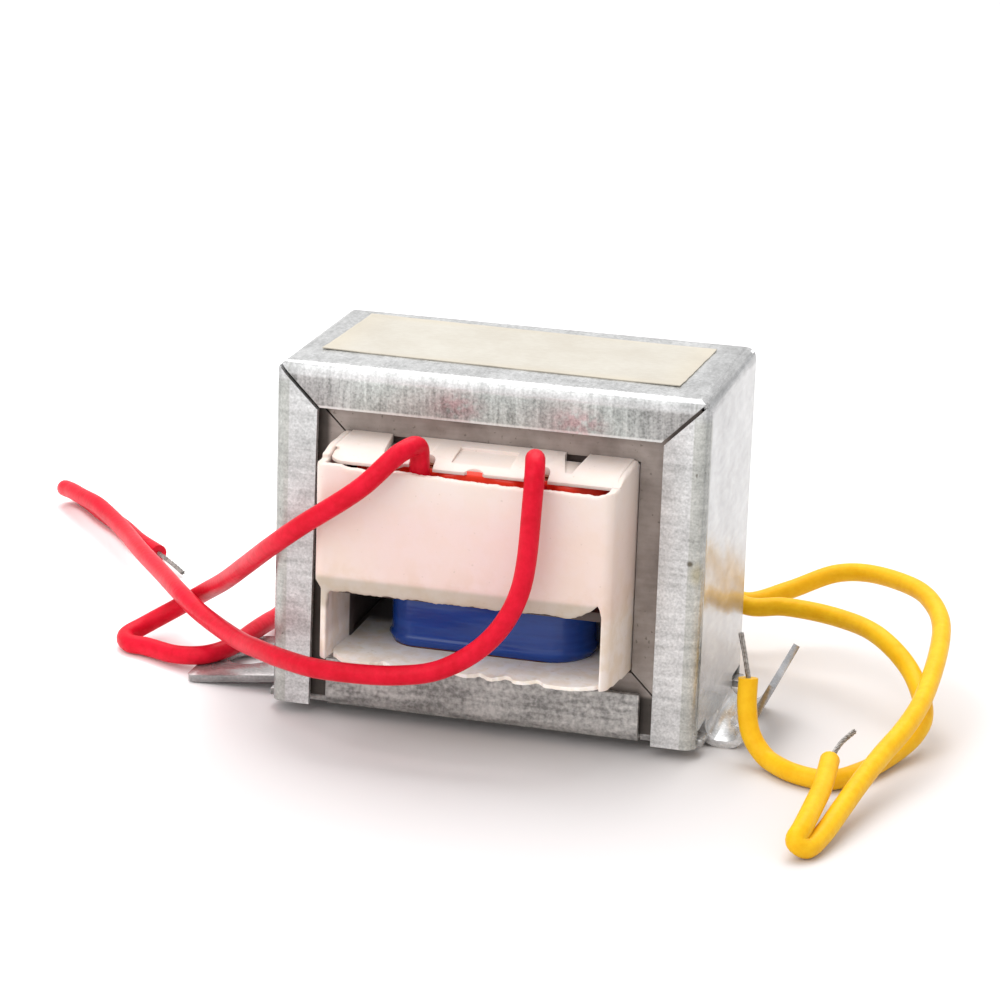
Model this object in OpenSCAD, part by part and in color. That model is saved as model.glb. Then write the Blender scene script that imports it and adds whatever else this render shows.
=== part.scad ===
// Mains transformer: laminated core in a folded steel frame with two feet, bobbin, covers and four leads
// Origin at the centre of the underside of the base strip, +X towards the bent foot, +Y to the back, +Z up
// All sizes in millimetres

/* [Core] */
// Width of a core sheet
core_w = 41; // [38:0.5:46]
// Depth of the stack of sheets
stack_d = 20.5; // [18:0.5:24]
// Width of the outer legs and the yokes
leg_w = 6; // [5:0.25:6.5]
// Width of the tongue inside the bobbin
tongue_w = 13; // [12:0.5:14]
// Height of the two windows
window_h = 21; // [20:0.5:26]
// Gap at the joints between the two sheet outlines
joint_gap = 0.15; // [0.05:0.05:0.3]

/* [Steel frame] */
// Thickness of the folded sheet
sheet = 0.7; // [0.5:0.1:1]
// Width of the front and back flanges of the frame
flange_w = 4.3; // [3:0.1:5]
// Room between the core and the flanges
flange_gap = 0.55; // [0.2:0.05:1]
// Outside radius of the flange bends
bend_r = 1.3; // [1.1:0.1:1.6]
// Outside radius of the two top corners
corner_r = 1.6; // [1.2:0.1:2.5]
// Gap of the mitred flange corners
mitre_gap = 0.35; // [0.1:0.05:0.8]

/* [Base strip] */
// Length of the upright flanges of the base strip
strip_w = 31.2; // [24:0.2:32]
// Height of the upright flanges of the base strip
strip_h = 5; // [3:0.1:6]
// Width of the four end tabs
tab_w = 2.4; // [1.5:0.1:2.6]
// Length of the end tabs outside the frame
tab_out = 0.5; // [0.2:0.1:1]
// Side room of the base strip between the frame flanges
strip_gap = 0.1; // [0.05:0.05:0.3]

/* [Feet] */
// Width of a foot
foot_w = 12.8; // [11:0.2:14]
// Depth of the feet below the base strip
foot_drop = 1.2; // [0.8:0.1:2]
// Length of the flat of the left foot
foot_len = 10; // [8:0.5:12]
// Slope of the left foot in degrees
foot_slope = 6.8; // [2:0.2:10]
// Inside radius of the bend of the left foot
foot_bend_r = 0.8; // [0.5:0.1:1.2]
// Radius of the corners of the left foot
foot_corner_r = 0.8; // [0.4:0.2:4]
// Diameter of the screw hole in each foot
foot_hole_d = 5.4; // [3:0.1:5.6]
// Distance of the screw hole from the bend of the left foot
foot_hole_at = 4.9; // [4:0.1:6]
// Inside radius of the two bends of the right foot
curl_r = 1.3; // [0.8:0.1:1.6]
// Angle that the right foot is bent up, in degrees
curl_angle = 64; // [40:1:80]
// Length of the bent-up flat of the right foot
curl_len = 6.2; // [5.4:0.2:8]
// Distance of the screw hole up the right foot from the middle of its bend
curl_hole_at = 1.3; // [1:0.1:1.8]
// Width of the level stretch of the right foot between its bends
curl_flat = 0.8; // [0.3:0.1:2.5]

/* [Bobbin] */
// Thickness of the bobbin wall round the tongue
bobbin_wall = 0.8; // [0.5:0.1:1.2]
// Thickness of the three bobbin flanges
bobbin_flange = 0.9; // [0.6:0.1:1.2]
// Clearance of the bobbin in the core
bobbin_gap = 0.1; // [0.05:0.05:0.3]
// Depth of the top flange from front to back
top_flange_d = 32.4; // [31.6:0.2:34]
// Depth of the bottom flange from front to back
bottom_flange_d = 37.6; // [35:0.2:39]
// Radius of the corners of the bottom flange
bottom_corner_r = 3.5; // [1:0.5:4]
// Height of the lower winding room
lower_room = 5.8; // [5:0.1:7]
// Width of a lead notch in the top flange
notch_w = 2.3; // [2.1:0.1:3]
// Depth of a lead notch in the top flange
notch_d = 2; // [1.8:0.1:2.6]
// Place of the left lead notch
notch_left = -5.2; // [-5.5:0.1:-4.9]
// Place of the right lead notch
notch_right = 5.9; // [5.6:0.1:6]

/* [Covers] */
// Thickness of the cover walls
cover_wall = 0.8; // [0.5:0.1:1]
// Depth over both covers from front to back
cover_d = 36.6; // [36:0.2:38]
// Side clearance of the covers in the windows
cover_gap = 0.1; // [0.05:0.05:0.3]
// Lean of the front cover to the left
cover_lean = 0.5; // [0:0.1:0.6]
// Height of the lower edge of the front wall above the cover's foot
cover_open = 7.3; // [6:0.1:9]
// Height of the sloping band along the lower edge of the front wall
cover_band = 1.9; // [1:0.1:3]
// Set-back of the sloping band
cover_band_in = 0.4; // [0.1:0.1:0.4]
// Width of the rounding of the lower right corner of the front wall
cover_corner_w = 3.6; // [1:0.2:5]
// Height of the rounding of the lower right corner of the front wall
cover_corner_h = 1.7; // [0.5:0.1:3]
// Radius of the upright front corners of a cover
cover_front_r = 1; // [0.5:0.1:2]
// Drop of the side walls' top edge below the bobbin
cover_drop = 0.1; // [0.05:0.05:0.4]
// Drop of the front wall's top edge below the side walls
front_drop = 0.9; // [0.5:0.1:1.5]
// Room between the side walls of the covers and the bobbin flanges
cover_slack = 0.1; // [0.05:0.05:0.3]

/* [Windings and label] */
// Width of the upper winding with its tape
primary_w = 25.2; // [20:0.2:25.6]
// Depth of the upper winding with its tape
primary_d = 30.4; // [28:0.2:30.6]
// Width of the lower winding with its tape
secondary_w = 18.6; // [17:0.2:22]
// Depth of the lower winding with its tape
secondary_d = 26.4; // [26:0.2:27]
// Radius of the winding corners
winding_r = 3.2; // [1:0.2:4]
// Thickness of the tape
tape_t = 0.2; // [0.1:0.05:0.4]
// Length of the paper label
label_w = 35.5; // [20:0.5:37]
// Depth of the paper label
label_d = 14.8; // [8:0.2:16]
// Thickness of the paper label
label_t = 0.12; // [0.05:0.01:0.3]
// Turn of the label on the top face, in degrees
label_turn = -1.7; // [-3:0.1:3]

/* [Leads] */
// Diameter of an insulated lead
lead_d = 1.9; // [1.5:0.1:1.9]
// Diameter of the bare wire at the end of a lead
wire_d = 0.5; // [0.4:0.1:0.8]

/* [Hidden] */
cut = 1;
smooth = 48;
tube_sides = 8;
first_side = [0.3, 0.5, 0.8];

// Core and frame
core_h = window_h + 2 * leg_w;
window_w = (core_w - tongue_w) / 2 - leg_w;
core_z = sheet;
frame_w = core_w + 2 * sheet;
frame_h = core_h + 2 * sheet;
frame_d = stack_d + 2 * (flange_gap + sheet);
flat_d = frame_d - 2 * bend_r;

// Feet
left_bend_z = (foot_bend_r + sheet) * cos(foot_slope) + foot_len * sin(foot_slope) - foot_drop;
curl_z = curl_r + sheet - foot_drop;
relief = 0.15;
side_z = max(left_bend_z, curl_z, sheet) + relief;
curl_tilt = curl_angle / 2;
curl_mid = curl_r + sheet / 2;
curl_hole_x = frame_w / 2 + curl_r + curl_flat + curl_mid * sin(curl_tilt) + curl_hole_at * cos(curl_tilt);
curl_hole_z = curl_z - curl_mid * cos(curl_tilt) + curl_hole_at * sin(curl_tilt);

// Bobbin and covers
bobbin_z = core_z + leg_w + bobbin_gap;
bobbin_h = window_h - 2 * bobbin_gap;
bobbin_top = bobbin_z + bobbin_h;
lower_z = bobbin_z + bobbin_flange;
separator_z = lower_z + lower_room;
upper_z = separator_z + bobbin_flange;
upper_room = bobbin_top - bobbin_flange - upper_z;
tunnel_w = tongue_w + 2 * bobbin_gap;
tunnel_d = stack_d + 2 * bobbin_gap;
tube_w = tunnel_w + 2 * bobbin_wall;
tube_d = tunnel_d + 2 * bobbin_wall;
cover_w = tongue_w + 2 * window_w - 2 * cover_gap;
cover_h = bobbin_h - cover_drop;
bobbin_w = cover_w - 2 * (cover_wall + cover_slack);
lean_run = cover_d / 2 - cover_front_r - stack_d / 2;
seam = 0.1;
front_rise = 0.6 * bobbin_flange;
scallop_r = 1.2;
scallop_d = 0.5;
scallops = [-8, 1.5, 4, 7];
arch_x = 0;
arch_r = 1.2;
arch_d = 0.5;
pocket_x = [-2.5, 3.2];
pocket_y = [-15.2, -11.8];
pocket_t = 0.3;
slot_out = 9.7;
slot_front = [8.4, 9.1];
slot_y = 15;
slot_under = 0.5;
label_x = -0.25;
label_y = 0.85;

// Routes of the leads, from the winding to the end of the insulation
red_left_route = [
    [-5.2, -15.2, 25.3], [-5.2, -16.4, 25.3], [-5.2, -16.5, 27.4], [-5.3, -17, 28.9], [-6.3, -19, 28.8],
    [-9.6, -20.5, 25.5], [-16, -19.5, 20.6], [-19.5, -17, 17.6], [-24, -11, 13.4], [-29, -3, 8.7],
    [-33.5, 3.5, 4.9], [-37, 5.5, 2.3], [-40, 4, 0.5], [-41.2, 1.8, -0.1], [-40.2, 0, -0.2],
    [-38.3, -0.6, -0.1], [-34.5, -2.4, 0.1], [-32.4, -3, 0.4], [-31, -2.8, 0.6], [-29.8, -1.3, 0.7],
    [-29, 1, 0.8], [-28.4, 4.8, 1], [-28, 10.1, 0.7], [-27.7, 16, -0.2], [-16, 21.5, -0.2],
    [-9, 22, -0.2]
];
red_right_route = [
    [5.9, -15.2, 25.3], [5.9, -16.4, 25.3], [5.9, -16.5, 27.6], [6.1, -17.4, 29], [6.6, -19.4, 28.8],
    [6.7, -20.3, 26], [5.9, -20.9, 17], [3.4, -21.5, 12.4], [-1, -21.8, 9.1], [-5.5, -21.8, 7.9],
    [-13.3, -20.4, 7.1], [-18, -17.5, 6.6], [-21.2, -14.5, 6.1], [-25, -10, 5.2], [-32, -2, 4.8],
    [-35.3, 2, 5], [-40.3, 10, 4.2], [-46, 19, 3.3], [-50.7, 27, 2.4], [-54.8, 33, 2.1],
    [-58.1, 37, 2.1], [-61.6, 41, 1.6], [-63.6, 43.4, 1.3], [-65.3, 45.6, 0.8], [-64.6, 46.7, 0.1],
    [-62.8, 45.5, -0.2], [-58.6, 40.8, -0.2], [-54.7, 36.7, -0.2], [-51.4, 32.7, -0.2], [-47.8, 29.2, -0.2]
];
yellow_upper_route = [
    [3.5, 13.2, 10.2], [3.5, 15.6, 10.2], [6, 19.2, 9.4], [10.5, 22, 7.6], [16, 22.4, 5.6],
    [19.4, 21.3, 4.6], [23.4, 24, 5.4], [27.7, 26.5, 6.9], [31, 25.8, 7.6], [36.7, 21, 8.2],
    [39.1, 17.5, 8], [40.8, 13, 7.1], [41.4, -1.5, 4.7], [40.6, -8.5, 3.7], [39.4, -13.2, 2.8],
    [38.3, -18.6, 1.9], [37.4, -23.8, 1], [36.5, -28.4, 0.1], [35.6, -31.2, -0.2], [34.7, -31.6, 0.5],
    [35, -30.2, 1.3], [35.2, -26.3, 1.8], [35.3, -22.1, 2.2], [35, -16.6, 2.8]
];
yellow_lower_route = [
    [7.5, 13.2, 9.6], [7.5, 15.6, 9.6], [9.5, 18.6, 9.2], [13.5, 20, 7.9], [20.2, 17.2, 5.5],
    [24.3, 17, 5.9], [30.3, 14.5, 6.2], [35.2, 9.8, 6.3], [38.8, 6.5, 4.4], [41.1, 1.5, 2],
    [40.9, -1.5, 0.9], [39.3, -5.3, -0.1], [37.1, -10.8, -0.2], [34.6, -13.9, -0.2], [31.4, -13.4, -0.2],
    [28.2, -11, 0], [26.3, -9.8, 1.8], [25.6, -9, 4.4], [25.5, -8.5, 7]
];

// Routes of the bare wire ends, each from the end of its insulation
red_left_wire = [[-9, 22, -0.2], [-4.5, 22.3, -0.2]];
red_right_wire = [[-47.8, 29.2, -0.2], [-45.5, 27, -0.4], [-43.4, 24.8, -0.6]];
yellow_upper_wire = [[35, -16.6, 2.8], [35.4, -13.3, 3.3], [36.1, -9.9, 3.4]];
yellow_lower_wire = [[25.5, -8.5, 7], [25, -8.3, 9.2], [24.5, -8.2, 11.3]];

// Colours
steel = [0.72, 0.73, 0.74];
iron = [0.5, 0.49, 0.47];
white = [0.92, 0.88, 0.85];
copper = [0.65, 0.33, 0.16];
red = [0.8, 0.1, 0.14];
blue = [0.1, 0.16, 0.5];
yellow = [0.93, 0.68, 0.1];
paper = [0.93, 0.89, 0.76];
tin = [0.66, 0.66, 0.66];

// Tube along a route: directions, side vectors carried from ring to ring, and rings of points
function unit(v) = v / norm(v);
function leg_dir(route, i) = unit(route[i + 1] - route[i]);
function ring_dir(route, i) =
    i == 0 ? leg_dir(route, 0)
    : i == len(route) - 1 ? leg_dir(route, i - 1)
    : unit(leg_dir(route, i - 1) + leg_dir(route, i));
function carried(side, dir) = unit(side - (side * dir) * dir);
function side_at(route, i) =
    i == 0 ? carried(first_side, ring_dir(route, 0))
    : carried(side_at(route, i - 1), ring_dir(route, i));
function around(dir, side, a) = cos(a) * side + sin(a) * cross(dir, side);
function ring(route, i, r) =
    let (dir = ring_dir(route, i), side = side_at(route, i))
    [for (k = [0 : tube_sides - 1]) route[i] + r * around(dir, side, (k + 0.5) * 360 / tube_sides)];

module tube(route, d) {
    rings = len(route);
    points = [for (i = [0 : rings - 1]) each ring(route, i, d / 2)];
    walls = [for (i = [0 : rings - 2], k = [0 : tube_sides - 1])
        let (a = i * tube_sides, b = a + tube_sides, n = (k + 1) % tube_sides)
        [a + k, b + k, b + n, a + n]];
    start_cap = [for (k = [0 : tube_sides - 1]) k];
    end_cap = [for (k = [tube_sides - 1 : -1 : 0]) (rings - 1) * tube_sides + k];
    polyhedron(points = points, faces = concat(walls, [start_cap, end_cap]));
}

// Flat outlines
module rounded(w, d, r) {
    square([w - 2 * r, d], center = true);
    square([w, d - 2 * r], center = true);
    for (x = [-1, 1], y = [-1, 1])
        translate([x * (w / 2 - r), y * (d / 2 - r)]) circle(r, $fn = smooth);
}

module arch_outline(w, h, r) {
    translate([-w / 2, 0]) square([w, h - r]);
    translate([-w / 2 + r, 0]) square([w - 2 * r, h]);
    for (x = [-1, 1])
        translate([x * (w / 2 - r), h - r]) circle(r, $fn = smooth);
}

// Stands a flat outline upright, centred on the middle of the depth
module upright(depth) {
    rotate([90, 0, 0]) linear_extrude(depth, center = true) children();
}

module both_ways() {
    children();
    mirror([0, 1, 0]) children();
}

// Section of a flange and its bend, from the corner where the two outer faces would meet
module flange_section(width) {
    translate([0, bend_r]) square([sheet, width - bend_r]);
    intersection() {
        difference() {
            translate([bend_r, bend_r]) circle(bend_r, $fn = smooth);
            translate([bend_r, bend_r]) circle(bend_r - sheet, $fn = smooth);
        }
        square(bend_r);
    }
}

// Steel frame
module frame_wrap() {
    upright(flat_d)
        difference() {
            arch_outline(frame_w, frame_h, corner_r);
            arch_outline(core_w, frame_h - sheet, corner_r - sheet);
            translate([-frame_w / 2 - cut, -cut]) square([frame_w + 2 * cut, side_z + cut]);
        }
}

module top_flanges() {
    shift = mitre_gap / sqrt(2);
    half = frame_w / 2 - shift;
    intersection() {
        both_ways()
            translate([-frame_w / 2, -frame_d / 2, frame_h])
                mirror([0, 0, 1]) rotate([90, 0, 90]) linear_extrude(frame_w) flange_section(flange_w);
        upright(frame_d + cut)
            intersection() {
                arch_outline(frame_w, frame_h, corner_r);
                polygon([[-half, frame_h], [half, frame_h], [half - flange_w, frame_h - flange_w],
                         [flange_w - half, frame_h - flange_w]]);
            }
    }
}

module side_flanges() {
    shift = mitre_gap / sqrt(2);
    intersection() {
        both_ways()
            for (turned = [0, 1])
                mirror([turned, 0, 0])
                    translate([-frame_w / 2, -frame_d / 2, 0])
                        linear_extrude(frame_h) mirror([1, -1, 0]) flange_section(flange_w);
        upright(frame_d + cut)
            for (turned = [0, 1])
                mirror([turned, 0])
                    intersection() {
                        arch_outline(frame_w, frame_h, corner_r);
                        polygon([[-frame_w / 2, 0], [flange_w - frame_w / 2, 0],
                                 [flange_w - frame_w / 2, frame_h - flange_w - shift],
                                 [-frame_w / 2, frame_h - shift]]);
                    }
    }
}

// Bent strip seen from the front: part of a ring about a bend's centre, from its left side downwards
module bend_section(r, angle) {
    reach = 2 * (r + sheet);
    intersection() {
        difference() {
            circle(r + sheet, $fn = smooth);
            circle(r, $fn = smooth);
        }
        polygon([[0, 0], [-reach, 0], [-reach, -reach], reach * [-cos(angle), -sin(angle)]]);
    }
}

module left_foot() {
    bend_x = frame_w / 2 + foot_bend_r;
    mirror([1, 0, 0]) {
        upright(foot_w) {
            translate([core_w / 2, left_bend_z]) square([sheet, side_z + cut - left_bend_z]);
            translate([bend_x, left_bend_z]) bend_section(foot_bend_r, 90 - foot_slope);
        }
        translate([bend_x, 0, left_bend_z])
            rotate([0, foot_slope, 0])
                translate([0, 0, -foot_bend_r - sheet])
                    linear_extrude(sheet) foot_outline();
    }
}

module foot_outline() {
    difference() {
        union() {
            translate([0, -foot_w / 2]) square([foot_len - foot_corner_r, foot_w]);
            translate([0, foot_corner_r - foot_w / 2]) square([foot_len, foot_w - 2 * foot_corner_r]);
            for (y = [-1, 1])
                translate([foot_len - foot_corner_r, y * (foot_w / 2 - foot_corner_r)])
                    circle(foot_corner_r, $fn = smooth);
        }
        translate([foot_hole_at, 0]) circle(d = foot_hole_d, $fn = smooth);
    }
}

module right_foot() {
    bend_x = frame_w / 2 + curl_r;
    difference() {
        upright(foot_w) {
            translate([core_w / 2, curl_z]) square([sheet, side_z + cut - curl_z]);
            translate([bend_x, curl_z]) bend_section(curl_r, 90);
            translate([bend_x, -foot_drop]) square([curl_flat, sheet]);
            translate([bend_x + curl_flat, curl_z]) curl_section();
        }
        translate([curl_hole_x, 0, curl_hole_z])
            rotate([0, -curl_tilt, 0])
                translate([0, 0, -2 * sheet]) cylinder(d = foot_hole_d, h = 6 * sheet, $fn = smooth);
    }
}

module curl_section() {
    rotate(90) bend_section(curl_r, curl_angle);
    rotate(curl_angle) translate([0, -curl_r - sheet]) square([curl_len, sheet]);
}

module channel_frame() {
    color(steel) {
        frame_wrap();
        top_flanges();
        side_flanges();
        left_foot();
        right_foot();
    }
}

module base_strip() {
    web_d = flat_d - 2 * strip_gap;
    color(steel) {
        translate([-core_w / 2, -web_d / 2, 0]) cube([core_w, web_d, sheet]);
        translate([-strip_w / 2, -flat_d / 2, 0]) cube([strip_w, flat_d, sheet]);
        both_ways()
            translate([-strip_w / 2, -frame_d / 2, 0])
                rotate([90, 0, 90]) linear_extrude(strip_w) flange_section(strip_h);
        for (y = [-web_d / 2, web_d / 2 - tab_w])
            translate([-frame_w / 2 - tab_out, y, 0]) cube([frame_w + 2 * tab_out, tab_w, sheet]);
    }
}

// Core
module core_corners() {
    trim = corner_r - sheet;
    polygon([[-core_w / 2, 0], [core_w / 2, 0], [core_w / 2, core_h - trim], [core_w / 2 - trim, core_h],
             [trim - core_w / 2, core_h], [-core_w / 2, core_h - trim]]);
}

module core_l_stack() {
    in_x = core_w / 2 - leg_w;
    color(iron)
        translate([0, 0, core_z])
            upright(stack_d)
                intersection() {
                    core_corners();
                    polygon([[-core_w / 2, 0], [core_w / 2, 0], [in_x, leg_w], [-in_x, leg_w],
                             [-in_x, core_h - leg_w], [-core_w / 2, core_h]]);
                }
}

module core_f_stack() {
    in_x = core_w / 2 - leg_w;
    gap = joint_gap * sqrt(2);
    color(iron)
        translate([0, 0, core_z])
            upright(stack_d)
                intersection() {
                    core_corners();
                    polygon([[gap - core_w / 2, core_h], [core_w / 2, core_h], [core_w / 2, gap],
                             [in_x, leg_w + gap], [in_x, core_h - leg_w], [tongue_w / 2, core_h - leg_w],
                             [tongue_w / 2, leg_w + joint_gap], [-tongue_w / 2, leg_w + joint_gap],
                             [-tongue_w / 2, core_h - leg_w], [gap - in_x, core_h - leg_w]]);
                }
}

// Bobbin
module lead_notches() {
    for (x = [notch_left, notch_right])
        translate([x, -top_flange_d / 2 + notch_d - notch_w / 2]) {
            circle(d = notch_w, $fn = smooth);
            translate([-notch_w / 2, -notch_d]) square([notch_w, notch_d]);
        }
}

// Tapered slots beside the middle of the top flange, open under the yoke
module slots() {
    back = slot_under - stack_d / 2;
    for (turned = [0, 1])
        mirror([turned, 0])
            polygon([[tube_w / 2, back], [slot_out, back], [slot_front[1], -slot_y], [slot_front[0], -slot_y],
                     [tube_w / 2, -tube_d / 2]]);
}

// Room between the cover walls, which lean to the left at the front
module between_walls() {
    half = bobbin_w / 2;
    edge = -stack_d / 2;
    bend = edge - lean_run;
    polygon([[-half, cover_d], [half, cover_d], [half, edge], [half - cover_lean, bend],
             [half - cover_lean, -cover_d], [-half - cover_lean, -cover_d], [-half - cover_lean, bend],
             [-half, edge]]);
}

// Wedge below the front of the bobbin and the cover, whose undersides rise to the front
module under_front(depth) {
    translate([-cover_w, 0, 0])
        rotate([90, 0, 90])
            linear_extrude(2 * cover_w)
                polygon([[-stack_d / 2, 0], [-depth, front_rise], [-depth - cut, front_rise],
                         [-depth - cut, -cut], [-stack_d / 2, -cut]]);
}

module separator_outline() {
    intersection() {
        square([cover_w, top_flange_d], center = true);
        between_walls();
    }
}

module top_flange_outline() {
    difference() {
        separator_outline();
        lead_notches();
        slots();
        translate([arch_x, -top_flange_d / 2 - arch_r + arch_d]) circle(arch_r, $fn = smooth);
    }
}

module bottom_flange_outline() {
    difference() {
        intersection() {
            rounded(bobbin_w, bottom_flange_d, bottom_corner_r);
            between_walls();
        }
        for (x = scallops)
            translate([x, -bottom_flange_d / 2 - scallop_r + scallop_d]) circle(scallop_r, $fn = smooth);
    }
}

module bobbin() {
    color(white)
        difference() {
            union() {
                translate([0, 0, bobbin_z]) linear_extrude(bobbin_h) square([tube_w, tube_d], center = true);
                translate([0, 0, bobbin_z]) linear_extrude(bobbin_flange) bottom_flange_outline();
                translate([0, 0, separator_z]) linear_extrude(bobbin_flange) separator_outline();
                translate([0, 0, bobbin_top - bobbin_flange])
                    linear_extrude(bobbin_flange) top_flange_outline();
            }
            translate([0, 0, bobbin_z]) under_front(bottom_flange_d / 2);
            translate([0, 0, bobbin_z - cut])
                linear_extrude(bobbin_h + 2 * cut) square([tunnel_w, tunnel_d], center = true);
            translate([pocket_x[0], pocket_y[0], bobbin_top - pocket_t])
                cube([pocket_x[1] - pocket_x[0], pocket_y[1] - pocket_y[0], pocket_t + cut]);
        }
}

// Covers: two side walls in the windows and a front wall that leaves the lower winding open
module cover_plan(lean, inset, r) {
    out = cover_w / 2 - inset;
    front = inset - cover_d / 2;
    edge = -stack_d / 2;
    bend = edge - lean_run;
    difference() {
        polygon([[-out, -seam], [-out, edge], [-out - lean, bend], [-out - lean, front],
                 [out - lean, front], [out - lean, bend], [out, edge], [out, -seam]]);
        for (turned = [0, 1])
            translate([turned == 0 ? -out - lean : out - lean, front])
                mirror([turned, 0])
                    difference() {
                        square(r);
                        translate([r, r]) circle(r, $fn = smooth);
                    }
    }
}

module cover(lean) {
    left = -cover_w / 2 - lean - cut;
    front = cover_d / 2;
    step = top_flange_d / 2;
    inner_r = max(cover_front_r - cover_wall, tape_t);
    difference() {
        linear_extrude(cover_h)
            difference() {
                cover_plan(lean, 0, cover_front_r);
                translate([0, cut]) cover_plan(lean, cover_wall, inner_r);
                cover_plan(lean, cover_wall, inner_r);
            }
        translate([left, -front - cut, cover_h - front_drop])
            cube([cover_w + 2 * cut, front + cut - step, front_drop + cut]);
        translate([-lean, -front, 0]) upright(2 * cover_wall + cut) front_opening();
        translate([left, -front, cover_open])
            rotate([90, 0, 90])
                linear_extrude(cover_w - cover_wall + cut)
                    polygon([[-cut, -cut], [cover_band_in, -cut], [cover_band_in, 0], [0, cover_band],
                             [-cut, cover_band]]);
    }
}

// Opening below the front wall, with a corner that curves up at its right end
module front_opening() {
    half = cover_w / 2 - cover_wall;
    translate([-half, -cut]) square([2 * half, cover_open + cut]);
    translate([half - cover_corner_w, cover_open])
        scale([1, cover_corner_h / cover_corner_w])
            difference() {
                square(cover_corner_w);
                translate([0, cover_corner_w]) circle(cover_corner_w, $fn = smooth);
            }
}

module front_cover() {
    color(white)
        translate([0, 0, bobbin_z])
            difference() {
                cover(cover_lean);
                under_front(cover_d / 2);
            }
}

module rear_cover() {
    color(white) translate([0, 0, bobbin_z]) rotate([0, 0, 180]) cover(0);
}

// Windings, each one solid inside a sleeve of tape
module winding(w, d, z, h) {
    translate([0, 0, z])
        linear_extrude(h)
            difference() {
                rounded(w - 2 * tape_t, d - 2 * tape_t, winding_r - tape_t);
                square([tube_w, tube_d], center = true);
            }
}

module sleeve(w, d, z, h) {
    translate([0, 0, z])
        linear_extrude(h)
            difference() {
                rounded(w, d, winding_r);
                rounded(w - 2 * tape_t, d - 2 * tape_t, winding_r - tape_t);
            }
}

module primary_winding() {
    color(copper) winding(primary_w, primary_d, upper_z, upper_room);
}

module primary_tape() {
    color(red) sleeve(primary_w, primary_d, upper_z, upper_room);
}

module secondary_winding() {
    color(copper) winding(secondary_w, secondary_d, lower_z, lower_room);
}

module secondary_tape() {
    color(blue) sleeve(secondary_w, secondary_d, lower_z, lower_room);
}

module top_label() {
    color(paper)
        translate([label_x, label_y, frame_h])
            rotate([0, 0, label_turn])
                translate([-label_w / 2, -label_d / 2, 0]) cube([label_w, label_d, label_t]);
}

// Leads and their bare ends
module red_lead_left() {
    color(red) tube(red_left_route, lead_d);
}

module red_lead_right() {
    color(red) tube(red_right_route, lead_d);
}

module yellow_lead_upper() {
    color(yellow) tube(yellow_upper_route, lead_d);
}

module yellow_lead_lower() {
    color(yellow) tube(yellow_lower_route, lead_d);
}

module red_wire_left() {
    color(tin) tube(red_left_wire, wire_d);
}

module red_wire_right() {
    color(tin) tube(red_right_wire, wire_d);
}

module yellow_wire_upper() {
    color(tin) tube(yellow_upper_wire, wire_d);
}

module yellow_wire_lower() {
    color(tin) tube(yellow_lower_wire, wire_d);
}

channel_frame();
base_strip();
core_f_stack();
core_l_stack();
bobbin();
front_cover();
rear_cover();
primary_winding();
primary_tape();
secondary_winding();
secondary_tape();
top_label();
red_lead_left();
red_lead_right();
yellow_lead_upper();
yellow_lead_lower();
red_wire_left();
red_wire_right();
yellow_wire_upper();
yellow_wire_lower();
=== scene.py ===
import math

import bmesh
import bpy
from mathutils import Matrix, Vector, noise


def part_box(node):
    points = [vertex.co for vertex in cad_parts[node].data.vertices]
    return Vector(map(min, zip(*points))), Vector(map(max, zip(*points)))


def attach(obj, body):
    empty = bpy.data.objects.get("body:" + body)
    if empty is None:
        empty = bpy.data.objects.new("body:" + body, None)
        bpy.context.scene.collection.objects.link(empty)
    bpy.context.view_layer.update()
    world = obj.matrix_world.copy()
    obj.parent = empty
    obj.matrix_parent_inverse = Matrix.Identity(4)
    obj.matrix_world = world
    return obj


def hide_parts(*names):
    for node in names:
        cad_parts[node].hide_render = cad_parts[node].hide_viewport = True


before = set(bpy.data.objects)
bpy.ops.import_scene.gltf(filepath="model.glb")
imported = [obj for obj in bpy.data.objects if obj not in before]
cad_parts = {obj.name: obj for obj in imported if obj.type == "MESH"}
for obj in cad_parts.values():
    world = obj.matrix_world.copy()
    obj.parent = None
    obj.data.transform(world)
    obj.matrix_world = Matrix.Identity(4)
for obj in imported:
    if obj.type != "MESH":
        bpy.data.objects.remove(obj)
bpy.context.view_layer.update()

MM = 0.001

# Sizes and places that several pieces share, in millimetres
FLOOR_Z = -1.2
LEAD_D = 1.9
WIRE_D = 0.5
FRAME_HALF_W = 21.2
FRAME_HALF_D = 11.5
FRAME_TOP = 34.4
LABEL_X = -0.25
LABEL_Y = 0.85

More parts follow.
